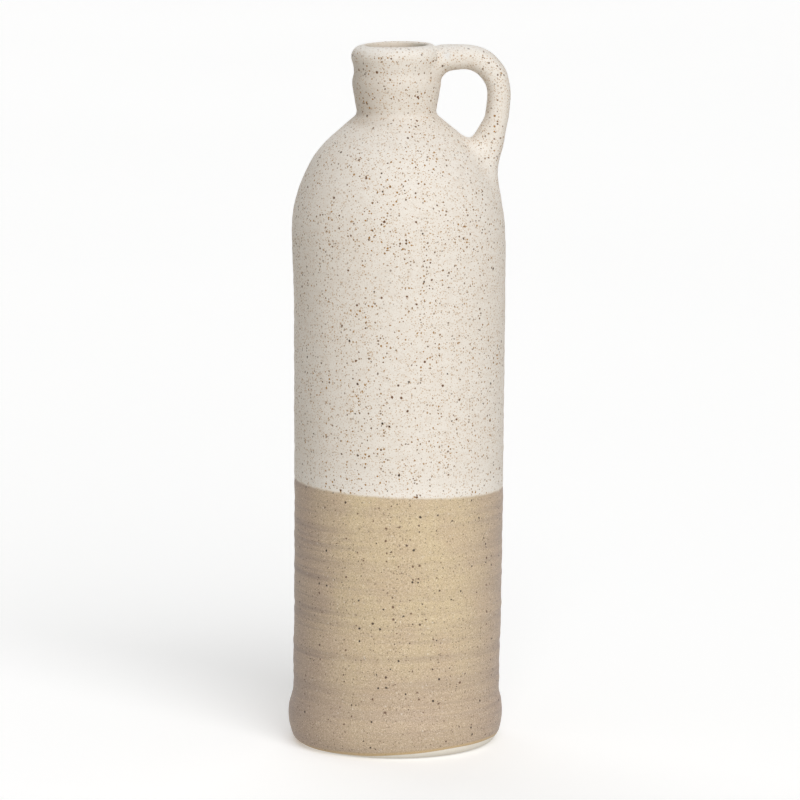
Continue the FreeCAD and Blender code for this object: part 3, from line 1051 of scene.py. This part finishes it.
HORIZON = (0.98, 0.98, 0.98)
SKY = (0.08, 0.08, 0.08)
BOUNCE = (0.64, 0.61, 0.56)  # what the table sends back up at the vase
WORLD_STOPS = [(0.482, BOUNCE), (0.487, HORIZON), (0.515, HORIZON), (0.565, SKY)]  # 0.5 is level
TABLE_GLOW = 0.26
FLOOR_REACH = 40
SUNS = [("key", 18, 34, 2.12, 45), ("back", 195, 35, 0.80, 60), ("top", 10, 80, 0.60, 80)]
CAMERA_SIDE = 0.0021
CAMERA_DISTANCE = 2.6
CAMERA_HEIGHT = 0.577
TARGET_HEIGHT = 0.1722
CAMERA_ROLL = 0.14
LENS = 237.8


def make_floor():
    work = bmesh.new()
    bmesh.ops.create_grid(work, x_segments=2, y_segments=2, size=FLOOR_REACH)
    mesh = bpy.data.meshes.new("floor")
    work.to_mesh(mesh)
    work.free()
    floor = add_object("floor", mesh)
    floor.data.materials.append(pale_floor())
    floor.visible_diffuse = False


def aim(thing, place, target, roll=0.0):
    thing.location = place
    towards = Vector(target) - Vector(place)
    turn = towards.to_track_quat("-Z", "Y").to_matrix() @ Matrix.Rotation(roll, 3, "Z")
    thing.rotation_euler = turn.to_euler()


def add_sun(name, azimuth, elevation, strength, spread):
    """Soft light from far away: azimuth turns from the front towards the handle."""
    lamp = bpy.data.lights.new(name, "SUN")
    lamp.energy = strength
    lamp.angle = math.radians(spread)
    turn, rise = math.radians(azimuth), math.radians(elevation)
    place = (math.sin(turn) * math.cos(rise), -math.cos(turn) * math.cos(rise), math.sin(rise))
    aim(add_object(name, lamp), place, (0, 0, 0))


def make_world():
    """A dim studio, pale at the height of the horizon, whose light from below is the table's."""
    world = bpy.data.worlds.new("studio")
    world.use_nodes = True
    tree = world.node_tree
    way = tree.nodes.new("ShaderNodeTexCoord")
    apart = tree.nodes.new("ShaderNodeSeparateXYZ")
    tree.links.new(way.outputs["Generated"], apart.inputs[0])
    shades = tree.nodes.new("ShaderNodeValToRGB")
    stops = shades.color_ramp.elements
    for index, (place, colour) in enumerate(WORLD_STOPS):
        stop = stops[index] if index < 2 else stops.new(place)
        stop.position = place
        stop.color = (*colour, 1)
    half = tree.nodes.new("ShaderNodeMath")
    half.operation = "MULTIPLY_ADD"
    half.inputs[1].default_value = 0.5
    half.inputs[2].default_value = 0.5
    tree.links.new(apart.outputs["Z"], half.inputs[0])
    tree.links.new(half.outputs[0], shades.inputs[0])
    tree.links.new(shades.outputs[0], tree.nodes["Background"].inputs["Color"])
    bpy.context.scene.world = world


def make_camera():
    """A long lens from a little above the mouth, looking down at the middle of the vase."""
    data = bpy.data.cameras.new("camera")
    data.lens = LENS
    data.clip_end = 100
    camera = add_object("camera", data)
    place = (CAMERA_SIDE, -CAMERA_DISTANCE, CAMERA_HEIGHT)
    aim(camera, place, (CAMERA_SIDE, 0, TARGET_HEIGHT), roll=math.radians(CAMERA_ROLL))
    bpy.context.scene.camera = camera


def make_stage():
    make_floor()
    make_world()
    for sun in SUNS:
        add_sun(*sun)
    bpy.context.scene.view_settings.view_transform = "Standard"
    make_camera()


def main():
    crown = GlazedCrown()
    looks = {
        "bare_stoneware": bare_stoneware(),
        "white_glaze": white_glaze(),
        "sand_glaze": sand_glaze(),
        "liner_glaze": liner_glaze(),
    }
    pieces = [
        (make_base_slab(), "base_slab", "bare_stoneware"),
        (make_wall("body_wall", FLOOR_HEIGHT, WALL_JOINT), "body_wall", "bare_stoneware"),
        (make_wall("shoulder_dome", WALL_JOINT, NECK_JOINT), "shoulder_dome", "bare_stoneware"),
        (make_wall("neck_collar", NECK_JOINT, RIM_HEIGHT), "neck_collar", "bare_stoneware"),
        (make_strap(crown), "handle_strap", "bare_stoneware"),
        (make_weld("upper_weld", crown, slice(0, 14), 2.2), "handle_upper_weld", "bare_stoneware"),
        (make_weld("lower_weld", crown, slice(104, 74, -1), 3.0), "handle_lower_weld", "bare_stoneware"),
        (make_liner(), "liner_glaze_coat", "liner_glaze"),
        (make_tan_coat(), "tan_glaze_coat", "sand_glaze"),
        (make_white_coat(crown), "white_glaze_coat", "white_glaze"),
    ]
    for piece, node, slot in pieces:
        piece.data.materials.clear()
        piece.data.materials.append(looks[slot])
        piece.name = node.replace("_coat", "") + "_made"
        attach(piece, "root")
        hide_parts(node)
    make_stage()


main()
